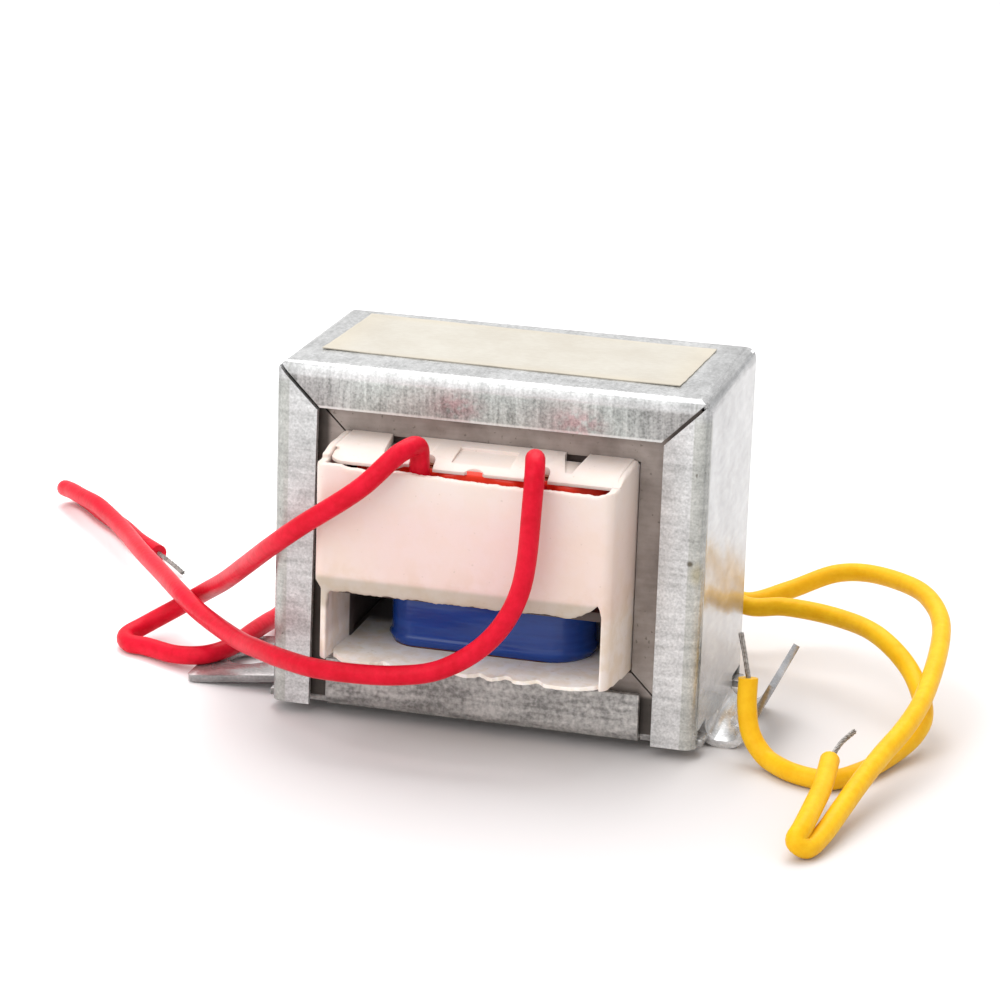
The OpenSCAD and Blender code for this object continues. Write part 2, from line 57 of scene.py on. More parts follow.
# Routes of the leads in millimetres, from the winding to the end of the insulation, then the bare end
LEADS = {
    "red_left": {
        "node": "red_lead_left", "wire_node": "red_wire_left", "finish": "red_insulation",
        "route": [
            (-5.2, -15.2, 25.3), (-5.2, -16.4, 25.3), (-5.2, -16.5, 27.4), (-5.3, -17, 28.9),
            (-6.3, -19, 28.8), (-9.6, -20.5, 25.5), (-16, -19.5, 20.6), (-19.5, -17, 17.6),
            (-24, -11, 13.4), (-29, -3, 8.7), (-33.5, 3.5, 4.9), (-37, 5.5, 2.3),
            (-40, 4, 0.5), (-41.2, 1.8, -0.1), (-40.2, 0, -0.2), (-38.3, -0.6, -0.1),
            (-34.5, -2.4, 0.1), (-32.4, -3, 0.4), (-31, -2.8, 0.6), (-29.8, -1.3, 0.7),
            (-29, 1, 0.8), (-28.4, 4.8, 1), (-28, 10.1, 0.7), (-27.7, 16, -0.2),
            (-16, 21.5, -0.2), (-9, 22, -0.2)],
        "wire": [(-9, 22, -0.2), (-4.5, 22.3, -0.2)],
    },
    "red_right": {
        "node": "red_lead_right", "wire_node": "red_wire_right", "finish": "red_insulation",
        "route": [
            (5.9, -15.2, 25.3), (5.9, -16.4, 25.3), (5.9, -16.5, 27.6), (6.1, -17.4, 29),
            (6.6, -19.4, 28.8), (6.7, -20.3, 26), (5.9, -20.9, 17), (3.4, -21.5, 12.4),
            (-1, -21.8, 9.1), (-5.5, -21.8, 7.9), (-13.3, -20.4, 7.1), (-18, -17.5, 6.6),
            (-21.2, -14.5, 6.1), (-25, -10, 5.2), (-32, -2, 4.8), (-35.3, 2, 5),
            (-40.3, 10, 4.2), (-46, 19, 3.3), (-50.7, 27, 2.4), (-54.8, 33, 2.1),
            (-58.1, 37, 2.1), (-61.6, 41, 1.6), (-63.6, 43.4, 1.3), (-65.3, 45.6, 0.8),
            (-64.6, 46.7, 0.1), (-62.8, 45.5, -0.2), (-58.6, 40.8, -0.2), (-54.7, 36.7, -0.2),
            (-51.4, 32.7, -0.2), (-47.8, 29.2, -0.2)],
        "wire": [(-47.8, 29.2, -0.2), (-45.5, 27, -0.4), (-43.4, 24.8, -0.6)],
    },
    "yellow_upper": {
        "node": "yellow_lead_upper", "wire_node": "yellow_wire_upper", "finish": "yellow_insulation",
        "route": [
            (3.5, 13.2, 10.2), (3.5, 15.6, 10.2), (6, 19.2, 9.4), (10.5, 22, 7.6),
            (16, 22.4, 5.6), (19.4, 21.3, 4.6), (23.4, 24, 5.4), (27.7, 26.5, 6.9),
            (31, 25.8, 7.6), (36.7, 21, 8.2), (39.1, 17.5, 8), (40.8, 13, 7.1),
            (41.4, -1.5, 4.7), (40.6, -8.5, 3.7), (39.4, -13.2, 2.8), (38.3, -18.6, 1.9),
            (37.4, -23.8, 1), (36.5, -28.4, 0.1), (35.6, -31.2, -0.2), (34.7, -31.6, 0.5),
            (35, -30.2, 1.3), (35.2, -26.3, 1.8), (35.3, -22.1, 2.2), (35, -16.6, 2.8)],
        "wire": [(35, -16.6, 2.8), (35.4, -13.3, 3.3), (36.1, -9.9, 3.4)],
    },
    "yellow_lower": {
        "node": "yellow_lead_lower", "wire_node": "yellow_wire_lower", "finish": "yellow_insulation",
        "route": [
            (7.5, 13.2, 9.6), (7.5, 15.6, 9.6), (9.5, 18.6, 9.2), (13.5, 20, 7.9),
            (20.2, 17.2, 5.5), (24.3, 17, 5.9), (30.3, 14.5, 6.2), (35.2, 9.8, 6.3),
            (38.8, 6.5, 4.4), (41.1, 1.5, 2), (40.9, -1.5, 0.9), (39.3, -5.3, -0.1),
            (37.1, -10.8, -0.2), (34.6, -13.9, -0.2), (31.4, -13.4, -0.2), (28.2, -11, 0),
            (26.3, -9.8, 1.8), (25.6, -9, 4.4), (25.5, -8.5, 7)],
        "wire": [(25.5, -8.5, 7), (25, -8.3, 9.2), (24.5, -8.2, 11.3)],
    },
}


class Wire:
    """One output socket; arithmetic on it adds Math nodes to its tree."""

    def __init__(self, graph, socket):
        self.graph = graph
        self.socket = socket

    def math(self, operation, *values):
        return self.graph.node("ShaderNodeMath", {"operation": operation}, dict(enumerate(values)))

    def __add__(self, other):
        return self.math("ADD", self, other)

    def __sub__(self, other):
        return self.math("SUBTRACT", self, other)

    def __rsub__(self, other):
        return self.math("SUBTRACT", other, self)

    def __mul__(self, other):
        return self.math("MULTIPLY", self, other)

    def __truediv__(self, other):
        return self.math("DIVIDE", self, other)

    def __abs__(self):
        return self.math("ABSOLUTE", self)

    __radd__ = __add__
    __rmul__ = __mul__

    def larger(self, other):
        return self.math("MAXIMUM", self, other)

    def rise(self, low, high):
        """0 below low, 1 above high, smooth between; falls instead where low is above high."""
        return self.graph.node(
            "ShaderNodeMapRange", {"interpolation_type": "SMOOTHSTEP"},
            {"Value": self, "From Min": low, "From Max": high})


class Graph:
    """A node tree and one way to add nodes to it."""

    def __init__(self, tree):
        self.tree = tree

    def node(self, kind, settings=None, inputs=None, output=0):
        made = self.tree.nodes.new(kind)
        for key, value in (settings or {}).items():
            setattr(made, key, value)
        for key, value in (inputs or {}).items():
            if isinstance(value, Wire):
                self.tree.links.new(value.socket, made.inputs[key])
            else:
                made.inputs[key].default_value = value
        return Wire(self, made.outputs[output]) if made.outputs else None


class Finish(Graph):
    """A procedural material on Object coordinates, counted in millimetres."""

    def __init__(self, name):
        self.material = bpy.data.materials.new(name)
        self.material.use_nodes = True
        super().__init__(self.material.node_tree)
        self.tree.nodes.clear()
        place = self.node("ShaderNodeTexCoord", output="Object")
        self.place = self.node("ShaderNodeVectorMath", {"operation": "SCALE"}, {0: place, "Scale": 1 / MM})
        self.x, self.y, self.z = (
            self.node("ShaderNodeSeparateXYZ", None, {0: self.place}, axis) for axis in range(3))

    def drawn_out(self, stretch):
        """Place with each axis counted as many times as stretch says."""
        return self.node("ShaderNodeVectorMath", {"operation": "MULTIPLY"}, {0: self.place, 1: stretch})

    def grain(self, scale, stretch=(1, 1, 1), detail=3, rough=0.55):
        """Noise with scale features in a millimetre, drawn out along the axes of small stretch."""
        return self.node("ShaderNodeTexNoise", None, {
            "Vector": self.drawn_out(stretch), "Scale": scale, "Detail": detail, "Roughness": rough})

    def near(self, point, stretch=(1, 1, 1)):
        """Distance from a point in millimetres, counted less along the axes of small stretch."""
        spot = [p * s for p, s in zip(point, stretch)]
        return self.node(
            "ShaderNodeVectorMath", {"operation": "DISTANCE"}, {0: self.drawn_out(stretch), 1: spot}, "Value")

    def mix(self, factor, a, b):
        """Colour a where factor is 0 and colour b where it is 1."""
        colours = {key: value if isinstance(value, Wire) else (*value, 1) for key, value in ((6, a), (7, b))}
        return self.node("ShaderNodeMix", {"data_type": "RGBA"}, {0: factor, **colours}, 2)

    def tint(self, factor, colour, by):
        """Colour multiplied by a tint as far as factor goes."""
        return self.node("ShaderNodeMix", {"data_type": "RGBA", "blend_type": "MULTIPLY"},
                         {0: factor, 6: colour, 7: (*by, 1)}, 2)

    def bump(self, height, depth):
        """Normal of a height from 0 to 1 that stands for so many millimetres."""
        return self.node("ShaderNodeBump", None, {"Strength": 1, "Distance": depth * MM, "Height": height})

    def surface(self, **sockets):
        """Ends the tree in a Principled shader; keys are its sockets with _ for spaces."""
        inputs = {key.replace("_", " "): value for key, value in sockets.items()}
        shader = self.node("ShaderNodeBsdfPrincipled", None, inputs)
        self.node("ShaderNodeOutputMaterial", None, {"Surface": shader})
        return self.material


def grey(level):
    return (level, level, level)


# Finishes
def galvanised_sheet(name, tone, contrast, spangle):
    """Zinc-coated steel: speckle, drawing marks on the flanges, painted shade on the bends, the sides and the
    feet, a painted highlight along the top flange's lower edge, pits and two pink stains.
    """
    f = Finish(name)
    from_side = FRAME_HALF_W - abs(f.x)
    from_face = FRAME_HALF_D - abs(f.y)
    from_top = FRAME_TOP - f.z
    on_left = f.x.rise(0, -1)
    on_right = f.x.rise(0, 1)
    on_face = from_face.rise(0.6, 0.3)
    above_mitre = (from_side - from_top).rise(-0.2, 0.2)
    top_flange = above_mitre * on_face * from_top.rise(1.1, 1.5)
    # Marks
    lines_top = f.grain(1, (2.2, 0.5, 0.2), 3, 0.6)
    lines_side = f.grain(1, (0.2, 0.5, 1.7), 3, 0.6)
    lines = lines_side + above_mitre * (lines_top - lines_side)
    speckle = f.grain(spangle, detail=2, rough=0.6)
    cloud = f.grain(0.3, detail=3)
    grit = (speckle - 0.5) * (0.75 + top_flange * 0.4)
    streaks = (lines - 0.5) * (0.6 + top_flange * 0.7)
    shade = (streaks + grit + (cloud - 0.5) * 0.6) * contrast + 0.5
    dark, light = (tuple(min(1, k * t) for t in tone) for k in (0.5, 1.4))
    # Tones of the flanges
    metal = f.tint(f.z.rise(6, 24), f.mix(shade, dark, light), grey(0.82))
    metal = f.tint(top_flange, metal, (0.62, 0.61, 0.6))
    metal = f.tint(top_flange * abs(f.x).rise(18, 10), metal, (1.25, 1.36, 1.34))
    metal = f.tint(f.x.rise(-15, -18), metal, grey(0.93))
    # Painted highlight along the lower edge of the top flange
    lip = above_mitre * on_face * from_top.rise(4, 4.15)
    metal = f.mix(lip * 0.6, metal, (0.85, 0.85, 0.83))
    # Painted shade on the frame's sides
    metal = f.tint(abs(from_side).rise(0.6, 0.3), metal, (0.83, 0.835, 0.845))
    top_right_end = from_side.rise(3.6, 2.6) * on_right * from_top.rise(1, 0.5)
    metal = f.tint(top_right_end, metal, grey(0.84))
    # Painted shade on the feet, a pink painted reflection of the red lead on the left foot and darker painted
    # shade along its front edge
    feet = from_side.rise(-0.6, -1.2)
    left_foot = feet * on_left
    metal = f.tint(left_foot, metal, (0.7, 0.655, 0.65))
    right_foot_arm = feet * on_right * f.z.rise(0.5, 1.5)
    metal = f.tint(right_foot_arm, metal, (0.55, 0.55, 0.57))
    left_foot_edge = left_foot * from_face.rise(5.35, 5.2)
    metal = f.tint(left_foot_edge, metal, (0.55, 0.56, 0.56))
    # Painted shade on the bends and their creases; pits and stains
    bend = from_side.rise(1.5, 1.2) * from_face.rise(1.5, 1.2) * from_top.rise(1.2, 2.5)
    crease = abs(from_side - 1.42).rise(0.14, 0.03) * on_face
    metal = f.tint(bend * 0.8 + crease * 0.6, metal, (0.74, 0.75, 0.7))
    pits = f.grain(1.5, (1, 1, 0.6), 2).rise(0.68, 0.74) * bend * 0.7
    spot = f.near((19.9, -11.4, 18.6)).rise(0.42, 0.15)
    metal = f.mix(pits.larger(spot * 0.9), metal, (0.09, 0.075, 0.05))
    smear = f.near((20.5, -11.2, 17.6), (1, 1, 0.6)).rise(1, 0.1)
    metal = f.tint(smear * 0.7, metal, (0.85, 0.75, 0.5))
    stain_left = f.near((-3, -11.5, 31.5), (0.55, 1, 1)).rise(2, 0.2)
    stain_right = f.near((8.6, -11.5, 31.1), (0.55, 1, 1)).rise(2.2, 0.2)
    stain = stain_left.larger(stain_right) * f.grain(1.3, detail=3).rise(0.3, 0.6)
    colour = f.tint(stain * 0.6, metal, (1, 0.5, 0.55))
    return f.surface(
        Base_Color=colour, Metallic=0.65, Roughness=0.2 + 0.1 * speckle + 0.22 * on_face,
        Normal=f.bump(lines * 0.6 + speckle * 0.4, 0.03))


def core_sheet():
    """Bare sheet of the core: warm grey with faint rolling lines and darker patches, with painted shade in
    its crevices.
    """
    f = Finish("core_sheet")
    rolled = f.grain(1.2, (0.15, 1, 1.5), 3)
    cloud = f.grain(0.35, detail=4)
    spots = f.grain(2.2, detail=2).rise(0.66, 0.74)
    plain = f.mix((rolled * 0.3 + cloud * 0.9).rise(0.3, 0.9), (0.185, 0.152, 0.134), (0.36, 0.31, 0.28))
    speckled = f.mix(spots * 0.6, plain, (0.09, 0.07, 0.055))
    right_leg_foot = f.x.rise(15, 17) * f.z.rise(17, 6)
    paler = f.tint(right_leg_foot, speckled, (1.4, 1.43, 1.44))
    # Painted shade in the crevices beside the base strip's ends and beside the left flange
    beside_strip = abs(f.x).rise(17.6, 17.2) * f.z.rise(4.7, 4.2)
    beside_left_flange = f.x.rise(-15.7, -16.3)
    colour = f.tint(beside_strip.larger(beside_left_flange), paler, (0.22, 0.21, 0.2))
    return f.surface(
        Base_Color=colour, Metallic=0.35, Roughness=0.42 + 0.2 * cloud, Normal=f.bump(rolled, 0.012))


def bobbin_plastic():
    """Moulded off-white plastic, pinkish: a band low on the front wall darkened by grime and painted shade, a
    bottom flange made paler by painted light, and painted shade where the bobbin and the covers go in beside
    the windings."""
    f = Finish("bobbin_plastic")
    off_middle = abs(f.y)
    across = abs(f.x + 0.3)
    cloud = f.grain(0.16, detail=3)
    fine = f.grain(1.4, detail=4, rough=0.65)
    # Tones from the top down
    flush = f.near((-1, -18, 20), (1, 0.3, 1.2)).rise(13, 4) * 0.75 + cloud.rise(0.3, 0.7) * 0.25
    front = f.mix(flush, (0.74, 0.605, 0.54), (0.735, 0.565, 0.535))
    upper = f.mix(f.z.rise(21, 26.5), front, (0.745, 0.645, 0.595))
    walls = f.mix(f.z.rise(15.6, 12.6), upper, (0.75, 0.665, 0.61))
    # Bottom flange made paler: painted light
    low = f.z.rise(10.5, 9) * across.rise(13.8, 13.3)
    paler = f.mix(low, walls, (0.95, 0.9, 0.865))
    # Band low on the front wall: grime, and painted shade where its chamfer faces down
    on_front_wall = f.y.rise(-17.2, -17.5) * f.x.rise(12.9, 12.5)
    band = f.z.rise(15.9, 15.3) * f.z.rise(12, 13) * on_front_wall
    grime_and_shade = f.mix(band, paler, (0.51, 0.445, 0.38))
    # Painted shade inside, where the bobbin and the covers go in beside the windings and under the top
    on_walls = f.z.rise(9, 9.4).larger(across.rise(12.68, 12.85))
    deep = on_walls * off_middle.rise(11.9, 11.5) + (1 - on_walls) * off_middle.rise(7.5, 5)
    under_top = off_middle.rise(10.35, 10.25) * f.z.rise(20, 21)
    separator = f.z.rise(12.7, 12.9) * f.z.rise(16, 15.8)
    separator = separator * off_middle.rise(16.6, 16.4) * abs(f.x).rise(13.1, 12.9)
    hidden = (deep * f.z.rise(27.2, 26.9)).larger(under_top).larger(separator)
    cavity_shade = hidden * f.x.rise(13.7, 13.4) * f.x.rise(-14.4, -14.1)
    grime_and_shade = f.tint(cavity_shade, grime_and_shade, (0.1, 0.08, 0.075))
    # Age
    low_marks = low * f.grain(0.9, detail=4).rise(0.5, 0.66)
    marks = (f.z.rise(19, 14) * f.grain(0.5, detail=4).rise(0.42, 0.62)).larger(low_marks)
    aged = f.tint(marks * 0.5, grime_and_shade, (0.88, 0.8, 0.66))
    blotch = f.grain(0.45, detail=4, rough=0.65).rise(0.42, 0.6)
    aged = f.tint(blotch * 0.35, aged, (0.985, 0.95, 0.88))
    specks = f.grain(2.3, detail=1).rise(0.72, 0.78)
    colour = f.mix(specks * 0.3, aged, (0.42, 0.33, 0.25))
    return f.surface(
        Base_Color=colour, Roughness=0.4 + 0.25 * fine, Normal=f.bump(fine * 0.6 + cloud, 0.05),
        Subsurface_Weight=0.12, Subsurface_Radius=(1, 0.6, 0.4), Subsurface_Scale=0.6 * MM)


def wrapped_tape(name, deep, bright, gloss):
    """Glossy film tape with lengthwise wrinkles."""
    f = Finish(name)
    wrinkle = f.grain(0.6, (0.3, 0.3, 2.2), 2)
    fine = f.grain(3, (0.4, 0.4, 1.5), 2)
    colour = f.mix((wrinkle * 0.8 + fine * 0.2).rise(0.1, 0.9), deep, bright)
    return f.surface(
        Base_Color=colour, Roughness=gloss + 0.12 * fine, Normal=f.bump(wrinkle, 0.04),
        Specular_IOR_Level=0.35, Coat_Weight=0.15, Coat_Roughness=0.12)


def winding_wire():
    """Enamelled copper wire lying in turns."""
    f = Finish("winding_wire")
    turn = f.node("ShaderNodeTexWave", {"wave_type": "BANDS", "bands_direction": "Z"}, {
        "Vector": f.place, "Scale": 1.1, "Distortion": 0.6, "Detail": 1})
    colour = f.mix(turn, (0.1, 0.03, 0.012), (0.34, 0.13, 0.055))
    return f.surface(Base_Color=colour, Metallic=0.8, Roughness=0.3 + 0.1 * turn, Normal=f.bump(turn, 0.12))


def label_paper():
    """Cream paper with fibres and slight yellowing towards its edges."""
    f = Finish("label_paper")
    fibre = f.grain(2.4, (0.5, 1.2, 1), 4, 0.7)
    cloud = f.grain(0.18, detail=3)
    aged = abs(f.x - LABEL_X).rise(14, 18).larger(abs(f.y - LABEL_Y).rise(5.6, 7.6)) * 0.5
    paper = f.mix((fibre * 0.5 + cloud * 0.5).rise(0.3, 0.7), (0.43, 0.395, 0.335), (0.5, 0.475, 0.42))
    colour = f.mix(aged * cloud, paper, (0.5, 0.42, 0.29))
    return f.surface(Base_Color=colour, Roughness=0.6 + 0.2 * fibre, Normal=f.bump(fibre * 0.4 + cloud, 0.03))


def insulation(name, deep, bright):
    """Soft glossy plastic of a lead, with a faint orange-peel and uneven shade."""
    f = Finish(name)
    cloud = f.grain(0.3, detail=3)
    peel = f.grain(2, detail=2)
    scuff = f.grain(1.2, detail=4, rough=0.7)
    colour = f.mix((cloud * 0.5 + scuff * 0.5).rise(0.3, 0.7), deep, bright)
    return f.surface(
        Base_Color=colour, Roughness=0.3 + 0.16 * peel, Normal=f.bump(peel * 0.5 + cloud, 0.05),
        Specular_IOR_Level=0.1,
        Subsurface_Weight=0.05, Subsurface_Radius=(1, 0.5, 0.3), Subsurface_Scale=0.5 * MM)


def tinned_wire():
    """Dull tinned copper with darker oxide patches."""
    f = Finish("tinned_wire")
    patch = f.grain(2.5, detail=3)
    colour = f.mix(patch.rise(0.3, 0.7), (0.2, 0.18, 0.165), (0.48, 0.46, 0.44))
    return f.surface(
        Base_Color=colour, Metallic=0.85, Roughness=0.32 + 0.2 * patch, Normal=f.bump(patch, 0.02))


def pale_floor():
    """White studio table with a painted shadow, darker near the object in front on the right, painted light
    on the left that pales the shadow of the red lead, and a barely visible unevenness.
    """
    f = Finish("pale_floor")
    cloud = f.grain(0.02, detail=2)
    # Painted shadow: darker near the object
    far = f.near((25, -35, FLOOR_Z)).rise(25, 110) * 0.85 + cloud * 0.15
    table = f.mix(far, (0.67, 0.645, 0.645), (0.8, 0.785, 0.785))
    # Painted light on the left, paling the shadow of the red lead
    colour = f.mix(f.x.rise(-22, -42), table, (0.97, 0.96, 0.96))
    return f.surface(Base_Color=colour, Roughness=0.75 + 0.1 * cloud)


FINISHES = {
    "galvanised_sheet": galvanised_sheet("galvanised_sheet", (0.73, 0.735, 0.725), 1.35, 4.2),
    "strip_sheet": galvanised_sheet("strip_sheet", (0.42, 0.405, 0.39), 2.5, 2.1),
    "core_sheet": core_sheet(),
    "bobbin_plastic": bobbin_plastic(),
    "red_tape": wrapped_tape("red_tape", (0.94, 0.035, 0.014), (0.98, 0.07, 0.03), 0.25),
    "blue_tape": wrapped_tape("blue_tape", (0.007, 0.034, 0.205), (0.014, 0.062, 0.315), 0.14),
    "winding_wire": winding_wire(),
    "label_paper": label_paper(),
    "red_insulation": insulation("red_insulation", (0.55, 0.004, 0.017), (0.69, 0.008, 0.03)),
    "yellow_insulation": insulation("yellow_insulation", (0.8, 0.41, 0.007), (0.86, 0.5, 0.016)),
    "tinned_wire": tinned_wire(),
}


# Making pieces
def mm(point):
    return Vector(point) * MM


def add_piece(name, data, finish, node):
    """Links a piece at the origin, rides it on the only body and lets it stand for its node."""
    piece = bpy.data.objects.new(name, data)
    bpy.context.scene.collection.objects.link(piece)
    data.materials.clear()
    data.materials.append(FINISHES[finish])
    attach(piece, "root")
    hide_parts(node)
    return piece


def maker_of(data):
    """Object that is there only while its modifiers make a mesh."""
    maker = bpy.data.objects.new("maker", data)
    bpy.context.scene.collection.objects.link(maker)
    return maker


def evaluated_mesh(maker):
    """Plain mesh of an object with its modifiers applied; the object is removed."""
    bpy.context.view_layer.update()
    graph = bpy.context.evaluated_depsgraph_get()
    mesh = bpy.data.meshes.new_from_object(maker.evaluated_get(graph))
    bpy.data.objects.remove(maker)
    return mesh


def cad_copy(node):
    """Merged copy of a CAD node's mesh, flat regions joined into faces."""
    bm = bmesh.new()
    bm.from_mesh(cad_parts[node].data)
    bmesh.ops.remove_doubles(bm, verts=bm.verts, dist=0.002 * MM)
    bmesh.ops.dissolve_limit(bm, angle_limit=math.radians(0.4), verts=bm.verts, edges=bm.edges)
    return bm


def mesh_of(bm, name):
    mesh = bpy.data.meshes.new(name)
    bm.to_mesh(mesh)
    bm.free()
    return mesh


def bevelled(mesh, width, segments, voxel=None):
    """Mesh with rounded edges, and with an even skin of small faces where voxel is given."""
    maker = maker_of(mesh)
    mesh.shade_smooth()
    bevel = maker.modifiers.new("edges", "BEVEL")
    bevel.width = width * MM
    bevel.segments = segments
    bevel.limit_method = "ANGLE"
    bevel.angle_limit = math.radians(28)
    bevel.harden_normals = voxel is None
    if voxel:
        skin = maker.modifiers.new("skin", "REMESH")
        skin.mode = "VOXEL"
        skin.voxel_size = voxel * MM
        skin.use_smooth_shade = True
    return evaluated_mesh(maker)


def wobble(x, scale, seed):
    """Smooth value from -1 to 1 along a line."""
    return noise.noise(Vector((x * scale, seed * 7.31, seed * 1.7)))


def ramp(value, zero, one):
    """0 at zero and before it, 1 at one and past it, straight between."""
    return min(1, max(0, (value - zero) / (one - zero)))


def peak(value, middle, reach):
    """1 in the middle, straight down to 0 at reach on either side."""
    return max(0, 1 - abs(value - middle) / reach)


# Geometry Nodes trees
def new_tree(name, inputs, result):
    """Tree with named inputs: its graph, a wire from each input, and the identifier of each."""
    tree = bpy.data.node_groups.new(name, "GeometryNodeTree")
    made = {
        key: tree.interface.new_socket(key, in_out="INPUT", socket_type=f"NodeSocket{kind}")
        for key, kind in inputs.items()}
    tree.interface.new_socket(result, in_out="OUTPUT", socket_type="NodeSocketGeometry")
    graph = Graph(tree)
    entry = tree.nodes.new("NodeGroupInput")
    given = {key: Wire(graph, entry.outputs[key]) for key in inputs}
    return graph, given, {key: socket.identifier for key, socket in made.items()}


def end_tree(graph, shape, finish, result):
    """Ends a tree in a plain mesh with its material."""
    plain = graph.node("GeometryNodeRealizeInstances", None, {"Geometry": shape})
    dressed = graph.node("GeometryNodeSetMaterial", None, {"Geometry": plain, "Material": finish})
    graph.node("NodeGroupOutput", None, {result: dressed})


def mesh_by_tree(data, graph, identifiers, values):
    """Mesh that a tree makes from a curve or mesh."""
    maker = maker_of(data)
    modifier = maker.modifiers.new("tree", "NODES")
    modifier.node_group = graph.tree
    for key, value in values.items():
        modifier[identifiers[key]] = value
    return evaluated_mesh(maker)


# Camera at the photograph's place
def photo_camera():
    right = Vector((0.96537, 0.25899, 0.03140))
    up = Vector((-0.10412, 0.27214, 0.95661))
    back = Vector((0.23921, -0.92675, 0.28968))
    place = mm((81.90, -323.56, 120.42))
    data = bpy.data.cameras.new("photo_camera")
    data.sensor_width = 36
    data.lens = 128.25
    data.clip_start = 0.01
    camera = bpy.data.objects.new("photo_camera", data)
    camera.matrix_world = Matrix.Translation(place) @ Matrix((right, up, back)).transposed().to_4x4()
    bpy.context.scene.collection.objects.link(camera)
    bpy.context.scene.camera = camera


def route_curve(name, route, radius):
    """Curve through a route with centripetal handles, which neither bulge nor loop at tight folds nor let a
    round of that radius dip into the floor."""
    data = bpy.data.curves.new(name, "CURVE")
    data.dimensions = "3D"
    spline = data.splines.new("BEZIER")
    spline.bezier_points.add(len(route) - 1)
    places = [mm(p) for p in route]
    lowest = (FLOOR_Z + radius) * MM
    for i, knot in enumerate(spline.bezier_points):
        here = places[i]
        before = places[max(i - 1, 0)]
        after = places[min(i + 1, len(places) - 1)]
        a = math.sqrt((here - before).length)
        b = math.sqrt((after - here).length)
        if a and b:
            run = (here - before) / a - (after - before) / (a + b) + (after - here) / b
        else:
            run = (after - before) / (a + b)
        knot.handle_left_type = knot.handle_right_type = "FREE"
        knot.co = here
        knot.handle_left = here - run * a / 3
        knot.handle_right = here + run * b / 3
        knot.handle_left.z = max(lowest, knot.handle_left.z)
        knot.handle_right.z = max(lowest, knot.handle_right.z)
    return data


def lead_curve(name, route):
    data = route_curve(name, route, LEAD_D / 2)
    data.bevel_depth = LEAD_D / 2 * MM
    data.bevel_resolution = 6
    data.resolution_u = 10
    data.use_fill_caps = True
    return data


def strand_tree():
    """Geometry Nodes: strands that twist about a curve and spread a little at its end."""
    g, given, identifiers = new_tree("twisted_strands", {
        "Path": "Geometry", "Strands": "Int", "Lay": "Float", "Strand": "Float", "Turns": "Float",
        "Spread": "Float", "Finish": "Material"}, "Bundle")
    path = g.node("GeometryNodeResampleCurve", None, {"Curve": given["Path"], "Count": 24})
    copies = g.node("GeometryNodeDuplicateElements", {"domain": "SPLINE"}, {
        "Geometry": path, "Amount": given["Strands"]}, "Geometry")
    index = Wire(g, copies.socket.node.outputs["Duplicate Index"])
    along = g.node("GeometryNodeSplineParameter")
    tangent = g.node("GeometryNodeInputTangent")
    normal = g.node("GeometryNodeInputNormal")
    other = g.node("ShaderNodeVectorMath", {"operation": "CROSS_PRODUCT"}, {0: tangent, 1: normal})
    angle = index / given["Strands"] * math.tau + along * given["Turns"] * math.tau
    reach = given["Lay"] * (1 + given["Spread"] * along * along * along)
    parts = [
        g.node("ShaderNodeVectorMath", {"operation": "SCALE"}, {
            0: side, "Scale": reach * angle.math(turn, angle)})
        for side, turn in ((normal, "COSINE"), (other, "SINE"))]
    offset = g.node("ShaderNodeVectorMath", {"operation": "ADD"}, {0: parts[0], 1: parts[1]})
    twisted = g.node("GeometryNodeSetPosition", None, {"Geometry": copies, "Offset": offset})
    section = g.node("GeometryNodeCurvePrimitiveCircle", None, {"Resolution": 8, "Radius": given["Strand"]})
    bundle = g.node("GeometryNodeCurveToMesh", None, {
        "Curve": twisted, "Profile Curve": section, "Fill Caps": True})
    end_tree(g, bundle, given["Finish"], "Bundle")
    return g, identifiers


def bare_strands(name, route, tree, identifiers):
    """Strands of a bare end, which start a little way inside the insulation."""
    inside = 1.2
    strand_r = WIRE_D / 6 * MM
    end = Vector(route[0])
    start = end + (end - Vector(route[1])).normalized() * inside
    mesh = mesh_by_tree(route_curve(name, [start, *route], WIRE_D / 2), tree, identifiers, {
        "Strands": 6, "Lay": 2 * strand_r, "Strand": strand_r, "Turns": 1.6, "Spread": 0.15,
        "Finish": FINISHES["tinned_wire"]})
    mesh.shade_smooth()
    return mesh


def leads():
    tree, identifiers = strand_tree()
    for name, lead in LEADS.items():
        wire = bare_strands(f"{name}_strands", lead["wire"], tree, identifiers)
        strands = add_piece(f"{name}_strands", wire, "tinned_wire", lead["wire_node"])
        piece = add_piece(f"{name}_insulation", lead_curve(f"{name}_insulation", lead["route"]),
                          lead["finish"], lead["node"])


# Core
def stack_tree():
    """Geometry Nodes: one sheet repeated through the stack, each shifted by a hair."""
    g, given, identifiers = new_tree("sheet_stack", {
        "Sheet": "Geometry", "Sheets": "Int", "First": "Float", "Pitch": "Float", "Shift": "Float",
        "Seed": "Int", "Finish": "Material"}, "Stack")
    first = g.node("ShaderNodeCombineXYZ", None, {"Y": given["First"]})
    step = g.node("ShaderNodeCombineXYZ", None, {"Y": given["Pitch"]})
    row = g.node("GeometryNodeMeshLine", None, {
        "Count": given["Sheets"], "Start Location": first, "Offset": step})
    across, upward = (
        g.node("FunctionNodeRandomValue", {"data_type": "FLOAT"}, {
            2: 0 - given["Shift"], 3: given["Shift"], "Seed": given["Seed"] + k}, 1)
        for k in range(2))
    hair = g.node("ShaderNodeCombineXYZ", None, {"X": across, "Z": upward})
    loose = g.node("GeometryNodeSetPosition", None, {"Geometry": row, "Offset": hair})
    sheets = g.node("GeometryNodeInstanceOnPoints", None, {"Points": loose, "Instance": given["Sheet"]})
    end_tree(g, sheets, given["Finish"], "Stack")
    return g, identifiers


